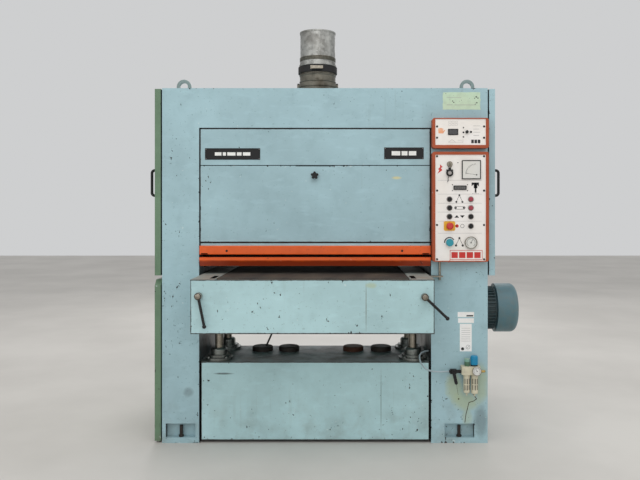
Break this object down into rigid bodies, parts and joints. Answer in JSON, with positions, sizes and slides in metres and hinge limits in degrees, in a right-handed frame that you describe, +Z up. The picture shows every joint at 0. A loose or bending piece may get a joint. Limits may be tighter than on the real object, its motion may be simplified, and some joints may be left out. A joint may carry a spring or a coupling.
{
  "type": "wide-belt sander",
  "caption": "Floor-standing wide-belt sander: two box columns, sanding head with contact drum, and a conveyor table on lifting screws.",
  "frame": {"origin": "centre of the four floor anchor holes, on the floor", "axes": "+Z up, +Y from the operator's side towards the rear, +X to the operator's right"},
  "size_m": [2.009, 1.242, 2.188],
  "materials": {
    "frame_blue": "worn hammer-smooth enamel",
    "table_blue": "worn enamel",
    "door_green": "worn enamel",
    "guard_orange": "satin enamel",
    "box_orange": "satin enamel",
    "panel_white": "printed sheet",
    "galvanised": "galvanised",
    "dull_steel": "machined, oily",
    "black_iron": "black oxide",
    "motor_grey": "enamel",
    "black_plastic": "moulded",
    "red_plastic": "moulded",
    "teal_plastic": "moulded",
    "blue_plastic": "moulded",
    "beige_metal": "die cast",
    "grey_hose": "polyurethane hose",
    "rubber": "moulded rubber",
    "conveyor_rubber": "ribbed belt",
    "abrasive_brown": "coated abrasive",
    "meter_face": "dial and frame"
  },
  "bodies": {
    "root": {"left_column": "frame_blue", "right_column": "frame_blue", "base_beam": "table_blue", "head_hood": "frame_blue", "front_frame": "frame_blue", "rear_cover": "frame_blue", "guard_bar": "guard_orange", "left_lower_panel": "door_green", "lifting_eyes": "galvanised", "levelling_feet": "black_iron", "extraction_collar": "galvanised", "clamp_ring": "black_iron", "duct_pipe": "galvanised", "control_boxes": "box_orange", "control_plates": "panel_white", "panel_meters": "meter_face", "filter_regulator": "beige_metal", "air_fittings": "black_plastic", "air_hose": "grey_hose", "head_beam": "black_iron", "abrasive_belt": "abrasive_brown", "vee_belts": "rubber", "motor_housing": "motor_grey", "fan_cowl": "motor_grey", "jack_housings": "dull_steel"},
    "front_door": {"front_door": "frame_blue"},
    "door_knob": {"door_knob": "black_plastic"},
    "belt_door": {"belt_door": "door_green", "belt_door_handle": "black_plastic"},
    "drive_door": {"drive_door": "frame_blue", "drive_door_handle": "black_plastic"},
    "safety_bar": {"safety_bar": "guard_orange"},
    "contact_drum": {"contact_drum": "dull_steel"},
    "tension_yoke": {"tension_yoke": "black_iron"},
    "tension_roller": {"tension_roller": "dull_steel"},
    "motor_rotor": {"motor_rotor": "dull_steel"},
    "front_hold_down_roller": {"front_hold_down_roller": "rubber"},
    "rear_hold_down_roller": {"rear_hold_down_roller": "rubber"},
    "table": {"table_bed": "table_blue", "conveyor_belt": "conveyor_rubber", "feed_gearmotor": "motor_grey", "lift_screws": "dull_steel", "height_pointer": "dull_steel"},
    "drive_roller": {"drive_roller": "dull_steel"},
    "tail_roller": {"tail_roller": "dull_steel"},
    "left_clamp_lever": {"left_clamp_lever": "black_iron"},
    "right_clamp_lever": {"right_clamp_lever": "black_iron"},
    "emergency_stop": {"emergency_stop": "red_plastic"},
    "key_switch": {"key_switch": "dull_steel"},
    "tension_knob": {"tension_knob": "teal_plastic"},
    "thickness_knob": {"thickness_knob": "black_plastic"},
    "regulator_knob": {"regulator_knob": "blue_plastic"},
    "valve_lever": {"valve_lever": "black_plastic"},
    "sander_start_button": {"sander_start_button": "black_plastic"},
    "sander_stop_button": {"sander_stop_button": "red_plastic"},
    "feed_start_button": {"feed_start_button": "black_plastic"},
    "feed_stop_button": {"feed_stop_button": "red_plastic"},
    "table_up_button": {"table_up_button": "black_plastic"},
    "table_down_button": {"table_down_button": "black_plastic"},
    "reset_button": {"reset_button": "black_plastic"}
  },
  "joints": [
    {"name": "table_lift", "type": "slide", "parent": "root", "child": "table", "axis": [0, 0, 1], "range_m": [-0.12, 0.03]},
    {"name": "drum_spin", "type": "hinge", "parent": "root", "child": "contact_drum", "pos_m": [-0.05, -0.2, 1.0068], "axis": [1, 0, 0], "continuous": true},
    {"name": "motor_spin", "type": "hinge", "parent": "root", "child": "motor_rotor", "pos_m": [0.9, 0.08, 0.622], "axis": [1, 0, 0], "continuous": true},
    {"name": "tension_slide", "type": "slide", "parent": "root", "child": "tension_yoke", "axis": [0, 0, 1], "range_m": [-0.02, 0]},
    {"name": "tension_roller_spin", "type": "hinge", "parent": "tension_yoke", "child": "tension_roller", "pos_m": [-0.05, -0.2, 1.7068], "axis": [1, 0, 0], "continuous": true},
    {"name": "front_hold_down_spin", "type": "hinge", "parent": "root", "child": "front_hold_down_roller", "pos_m": [-0.05, -0.37, 0.932], "axis": [1, 0, 0], "continuous": true},
    {"name": "rear_hold_down_spin", "type": "hinge", "parent": "root", "child": "rear_hold_down_roller", "pos_m": [-0.05, -0.03, 0.932], "axis": [1, 0, 0], "continuous": true},
    {"name": "drive_roller_spin", "type": "hinge", "parent": "table", "child": "drive_roller", "pos_m": [-0.05, 0.25, 0.8212], "axis": [1, 0, 0], "continuous": true},
    {"name": "tail_roller_spin", "type": "hinge", "parent": "table", "child": "tail_roller", "pos_m": [-0.05, -0.69, 0.8212], "axis": [1, 0, 0], "continuous": true},
    {"name": "front_door_hinge", "type": "hinge", "parent": "root", "child": "front_door", "pos_m": [-0.05, -0.44, 1.037], "axis": [1, 0, 0], "range_deg": [0, 90]},
    {"name": "door_knob_turn", "type": "hinge", "parent": "front_door", "child": "door_knob", "pos_m": [-0.052, -0.448, 1.372], "axis": [0, 1, 0], "range_deg": [0, 90]},
    {"name": "belt_door_hinge", "type": "hinge", "parent": "root", "child": "belt_door", "pos_m": [-0.8585, 0.452, 1.3], "axis": [0, 0, -1], "range_deg": [0, 100]},
    {"name": "drive_door_hinge", "type": "hinge", "parent": "root", "child": "drive_door", "pos_m": [0.8585, 0.452, 1.3], "axis": [0, 0, 1], "range_deg": [0, 100]},
    {"name": "safety_bar_swing", "type": "hinge", "parent": "root", "child": "safety_bar", "pos_m": [-0.05, -0.438, 0.945], "axis": [1, 0, 0], "range_deg": [0, 12], "stiffness_Nm_per_rad": 20},
    {"name": "left_clamp_turn", "type": "hinge", "parent": "table", "child": "left_clamp_lever", "pos_m": [-0.584, -0.75, 0.792], "axis": [0, 1, 0], "range_deg": [-60, 60]},
    {"name": "right_clamp_turn", "type": "hinge", "parent": "table", "child": "right_clamp_lever", "pos_m": [0.477, -0.75, 0.788], "axis": [0, 1, 0], "range_deg": [-60, 60]},
    {"name": "emergency_stop_press", "type": "slide", "parent": "root", "child": "emergency_stop", "axis": [0, 1, 0], "range_m": [0, 0.006], "stiffness_N_per_m": 800},
    {"name": "key_turn", "type": "hinge", "parent": "root", "child": "key_switch", "pos_m": [0.633, -0.497, 1.427], "axis": [0, 1, 0], "range_deg": [0, 90]},
    {"name": "tension_knob_turn", "type": "hinge", "parent": "root", "child": "tension_knob", "pos_m": [0.632, -0.497, 1.031], "axis": [0, 1, 0], "range_deg": [-150, 150]},
    {"name": "thickness_knob_turn", "type": "hinge", "parent": "root", "child": "thickness_knob", "pos_m": [0.72, -0.497, 1.59], "axis": [0, 1, 0], "range_deg": [-135, 135]},
    {"name": "regulator_knob_turn", "type": "hinge", "parent": "root", "child": "regulator_knob", "pos_m": [0.7585, -0.487, 0.43], "axis": [0, 0, 1], "range_deg": [-180, 180]},
    {"name": "valve_turn", "type": "hinge", "parent": "root", "child": "valve_lever", "pos_m": [0.652, -0.487, 0.376], "axis": [0, 1, 0], "range_deg": [0, 90]},
    {"name": "sander_start_press", "type": "slide", "parent": "root", "child": "sander_start_button", "axis": [0, 1, 0], "range_m": [0, 0.004], "stiffness_N_per_m": 400},
    {"name": "sander_stop_press", "type": "slide", "parent": "root", "child": "sander_stop_button", "axis": [0, 1, 0], "range_m": [0, 0.004], "stiffness_N_per_m": 400},
    {"name": "feed_start_press", "type": "slide", "parent": "root", "child": "feed_start_button", "axis": [0, 1, 0], "range_m": [0, 0.004], "stiffness_N_per_m": 400},
    {"name": "feed_stop_press", "type": "slide", "parent": "root", "child": "feed_stop_button", "axis": [0, 1, 0], "range_m": [0, 0.004], "stiffness_N_per_m": 400},
    {"name": "table_up_press", "type": "slide", "parent": "root", "child": "table_up_button", "axis": [0, 1, 0], "range_m": [0, 0.004], "stiffness_N_per_m": 400},
    {"name": "table_down_press", "type": "slide", "parent": "root", "child": "table_down_button", "axis": [0, 1, 0], "range_m": [0, 0.004], "stiffness_N_per_m": 400},
    {"name": "reset_press", "type": "slide", "parent": "root", "child": "reset_button", "axis": [0, 1, 0], "range_m": [0, 0.004], "stiffness_N_per_m": 400}
  ],
  "couplings": [
    {"joint": "motor_spin", "follows": "drum_spin", "ratio": 0.8421},
    {"joint": "tension_roller_spin", "follows": "drum_spin", "ratio": 1.6667},
    {"joint": "tail_roller_spin", "follows": "drive_roller_spin", "ratio": 1}
  ]
}
